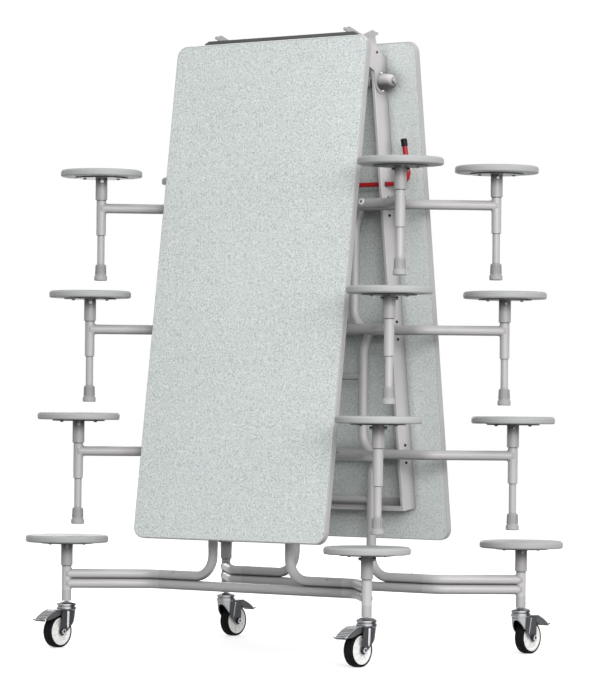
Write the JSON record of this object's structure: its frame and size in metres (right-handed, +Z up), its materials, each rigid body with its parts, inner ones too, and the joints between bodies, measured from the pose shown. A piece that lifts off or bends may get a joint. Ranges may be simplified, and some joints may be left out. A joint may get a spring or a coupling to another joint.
{
  "type": "folding table with stools",
  "caption": "Mobile folding dining table in two hinged halves on swivel casters, with round stools on bent tube frames that stay upright as it opens, and a red lock lever.",
  "frame": {"origin": "on the floor, at the middle of the folded table", "axes": "+Z up, +X along the width of the table top, -Y toward the front half"},
  "size_m": [1.429, 1.033, 1.8959],
  "materials": {
    "laminate": "pale grey-green speckled laminate on a board core",
    "edge_band": "warm light-grey moulded edge",
    "frame_paint": "light grey powder coat on tube",
    "rail_paint": "light grey powder coat on folded channel",
    "post_paint": "grey powder coat",
    "seat": "mid-grey moulded plastic",
    "foot": "grey moulded rubber",
    "zinc": "bright zinc plate",
    "wheel_centre": "off-white moulded wheel centre",
    "tyre": "black rubber tread",
    "pedal": "dark grey ridged pedal",
    "strip": "dark grey strip",
    "lever_red": "red plastic-coated bar",
    "grip": "black end cap",
    "link_steel": "zinc-plated flat bar"
  },
  "bodies": {
    "front_base": {"front_base_frame": "frame_paint", "front_base_seats": "seat", "front_base_posts": "post_paint"},
    "front_top": {"front_top_board": "laminate", "front_top_band": "edge_band", "front_rails": "rail_paint", "front_bolts": "zinc", "meeting_strip": "strip"},
    "front_row1": {"front_row1_frame": "frame_paint", "front_row1_seats": "seat", "front_row1_posts": "post_paint", "front_row1_feet": "foot"},
    "front_row2": {"front_row2_frame": "frame_paint", "front_row2_seats": "seat", "front_row2_posts": "post_paint", "front_row2_feet": "foot"},
    "front_row3": {"front_row3_frame": "frame_paint", "front_row3_seats": "seat", "front_row3_posts": "post_paint", "front_row3_feet": "foot"},
    "front_links": {"front_link_bars": "link_steel"},
    "rear_base": {"rear_base_frame": "frame_paint", "rear_base_seats": "seat", "rear_base_posts": "post_paint"},
    "rear_top": {"rear_top_board": "laminate", "rear_top_band": "edge_band", "rear_rails": "rail_paint", "rear_bolts": "zinc"},
    "rear_row1": {"rear_row1_frame": "frame_paint", "rear_row1_seats": "seat", "rear_row1_posts": "post_paint", "rear_row1_feet": "foot"},
    "rear_row2": {"rear_row2_frame": "frame_paint", "rear_row2_seats": "seat", "rear_row2_posts": "post_paint", "rear_row2_feet": "foot"},
    "rear_row3": {"rear_row3_frame": "frame_paint", "rear_row3_seats": "seat", "rear_row3_posts": "post_paint", "rear_row3_feet": "foot"},
    "rear_links": {"rear_link_bars": "link_steel"},
    "yokes": {"hinge_yokes": "link_steel"},
    "lever": {"lever_bar": "lever_red", "lever_grip": "grip"},
    "front_left_fork": {"front_left_caster_fork": "zinc"},
    "front_left_wheel": {"front_left_caster_hub": "wheel_centre", "front_left_caster_tyre": "tyre"},
    "front_left_pedal": {"front_left_caster_pedal": "pedal"},
    "front_right_fork": {"front_right_caster_fork": "zinc"},
    "front_right_wheel": {"front_right_caster_hub": "wheel_centre", "front_right_caster_tyre": "tyre"},
    "front_right_pedal": {"front_right_caster_pedal": "pedal"},
    "rear_left_fork": {"rear_left_caster_fork": "zinc"},
    "rear_left_wheel": {"rear_left_caster_hub": "wheel_centre", "rear_left_caster_tyre": "tyre"},
    "rear_left_pedal": {"rear_left_caster_pedal": "pedal"},
    "rear_right_fork": {"rear_right_caster_fork": "zinc"},
    "rear_right_wheel": {"rear_right_caster_hub": "wheel_centre", "rear_right_caster_tyre": "tyre"},
    "rear_right_pedal": {"rear_right_caster_pedal": "pedal"}
  },
  "joints": [
    {"name": "fold", "type": "hinge", "parent": "front_base", "child": "front_top", "pos_m": [0, -0.2286, 0.60494], "axis": [-1, 0, 0], "range_deg": [0, 82.83]},
    {"name": "centre_hinge", "type": "hinge", "parent": "front_top", "child": "rear_top", "pos_m": [0, 0, 1.84813], "axis": [1, 0, 0], "range_deg": [0, 165.66]},
    {"name": "rear_base_pivot", "type": "hinge", "parent": "rear_top", "child": "rear_base", "pos_m": [0, 0.2286, 0.60494], "axis": [-1, 0, 0], "range_deg": [0, 82.83]},
    {"name": "front_row1_pivot", "type": "hinge", "parent": "front_top", "child": "front_row1", "pos_m": [0, -0.08594, 1.739], "axis": [1, 0, 0], "range_deg": [0, 82.83]},
    {"name": "front_row2_pivot", "type": "hinge", "parent": "front_top", "child": "front_row2", "pos_m": [0, -0.13349, 1.36098], "axis": [1, 0, 0], "range_deg": [0, 82.83]},
    {"name": "front_row3_pivot", "type": "hinge", "parent": "front_top", "child": "front_row3", "pos_m": [0, -0.18104, 0.98296], "axis": [1, 0, 0], "range_deg": [0, 82.83]},
    {"name": "rear_row1_pivot", "type": "hinge", "parent": "rear_top", "child": "rear_row1", "pos_m": [0, 0.08594, 1.739], "axis": [-1, 0, 0], "range_deg": [0, 82.83]},
    {"name": "rear_row2_pivot", "type": "hinge", "parent": "rear_top", "child": "rear_row2", "pos_m": [0, 0.13349, 1.36098], "axis": [-1, 0, 0], "range_deg": [0, 82.83]},
    {"name": "rear_row3_pivot", "type": "hinge", "parent": "rear_top", "child": "rear_row3", "pos_m": [0, 0.18104, 0.98296], "axis": [-1, 0, 0], "range_deg": [0, 82.83]},
    {"name": "front_link_pivot", "type": "hinge", "parent": "front_base", "child": "front_links", "pos_m": [0, -0.24415, 0.6205], "axis": [-1, 0, 0], "range_deg": [0, 82.83]},
    {"name": "rear_link_pivot", "type": "hinge", "parent": "rear_base", "child": "rear_links", "pos_m": [0, 0.24415, 0.6205], "axis": [1, 0, 0], "range_deg": [0, 82.83]},
    {"name": "yoke_pivot", "type": "hinge", "parent": "front_top", "child": "yokes", "pos_m": [0, 0, 1.84813], "axis": [1, 0, 0], "range_deg": [0, 82.83]},
    {"name": "lock_lever", "type": "hinge", "parent": "rear_top", "child": "lever", "pos_m": [0, 0.11892, 1.42869], "axis": [1, 0, 0], "range_deg": [0, 40]},
    {"name": "front_left_swivel", "type": "hinge", "parent": "front_base", "child": "front_left_fork", "pos_m": [-0.5875, -0.3815, 0.142], "axis": [0, 0, 1], "continuous": true},
    {"name": "front_left_roll", "type": "hinge", "parent": "front_left_fork", "child": "front_left_wheel", "pos_m": [-0.5875, -0.4205, 0.05], "axis": [1, 0, 0], "continuous": true},
    {"name": "front_left_brake", "type": "hinge", "parent": "front_left_fork", "child": "front_left_pedal", "pos_m": [-0.5875, -0.4155, 0.106], "axis": [1, 0, 0], "range_deg": [0, 12]},
    {"name": "front_right_swivel", "type": "hinge", "parent": "front_base", "child": "front_right_fork", "pos_m": [0.5875, -0.3815, 0.142], "axis": [0, 0, 1], "continuous": true},
    {"name": "front_right_roll", "type": "hinge", "parent": "front_right_fork", "child": "front_right_wheel", "pos_m": [0.5875, -0.4205, 0.05], "axis": [1, 0, 0], "continuous": true},
    {"name": "front_right_brake", "type": "hinge", "parent": "front_right_fork", "child": "front_right_pedal", "pos_m": [0.5875, -0.4155, 0.106], "axis": [1, 0, 0], "range_deg": [0, 12]},
    {"name": "rear_left_swivel", "type": "hinge", "parent": "rear_base", "child": "rear_left_fork", "pos_m": [-0.5875, 0.3815, 0.142], "axis": [0, 0, 1], "continuous": true},
    {"name": "rear_left_roll", "type": "hinge", "parent": "rear_left_fork", "child": "rear_left_wheel", "pos_m": [-0.5875, 0.4205, 0.05], "axis": [1, 0, 0], "continuous": true},
    {"name": "rear_left_brake", "type": "hinge", "parent": "rear_left_fork", "child": "rear_left_pedal", "pos_m": [-0.5875, 0.4155, 0.106], "axis": [-1, 0, 0], "range_deg": [0, 12]},
    {"name": "rear_right_swivel", "type": "hinge", "parent": "rear_base", "child": "rear_right_fork", "pos_m": [0.5875, 0.3815, 0.142], "axis": [0, 0, 1], "continuous": true},
    {"name": "rear_right_roll", "type": "hinge", "parent": "rear_right_fork", "child": "rear_right_wheel", "pos_m": [0.5875, 0.4205, 0.05], "axis": [1, 0, 0], "continuous": true},
    {"name": "rear_right_brake", "type": "hinge", "parent": "rear_right_fork", "child": "rear_right_pedal", "pos_m": [0.5875, 0.4155, 0.106], "axis": [-1, 0, 0], "range_deg": [0, 12]}
  ],
  "couplings": [
    {"joint": "centre_hinge", "follows": "fold", "ratio": 2},
    {"joint": "rear_base_pivot", "follows": "fold", "ratio": 1},
    {"joint": "front_row1_pivot", "follows": "fold", "ratio": 1},
    {"joint": "front_row2_pivot", "follows": "fold", "ratio": 1},
    {"joint": "front_row3_pivot", "follows": "fold", "ratio": 1},
    {"joint": "rear_row1_pivot", "follows": "fold", "ratio": 1},
    {"joint": "rear_row2_pivot", "follows": "fold", "ratio": 1},
    {"joint": "rear_row3_pivot", "follows": "fold", "ratio": 1},
    {"joint": "front_link_pivot", "follows": "fold", "ratio": 1},
    {"joint": "rear_link_pivot", "follows": "fold", "ratio": 1},
    {"joint": "yoke_pivot", "follows": "fold", "ratio": 1}
  ]
}
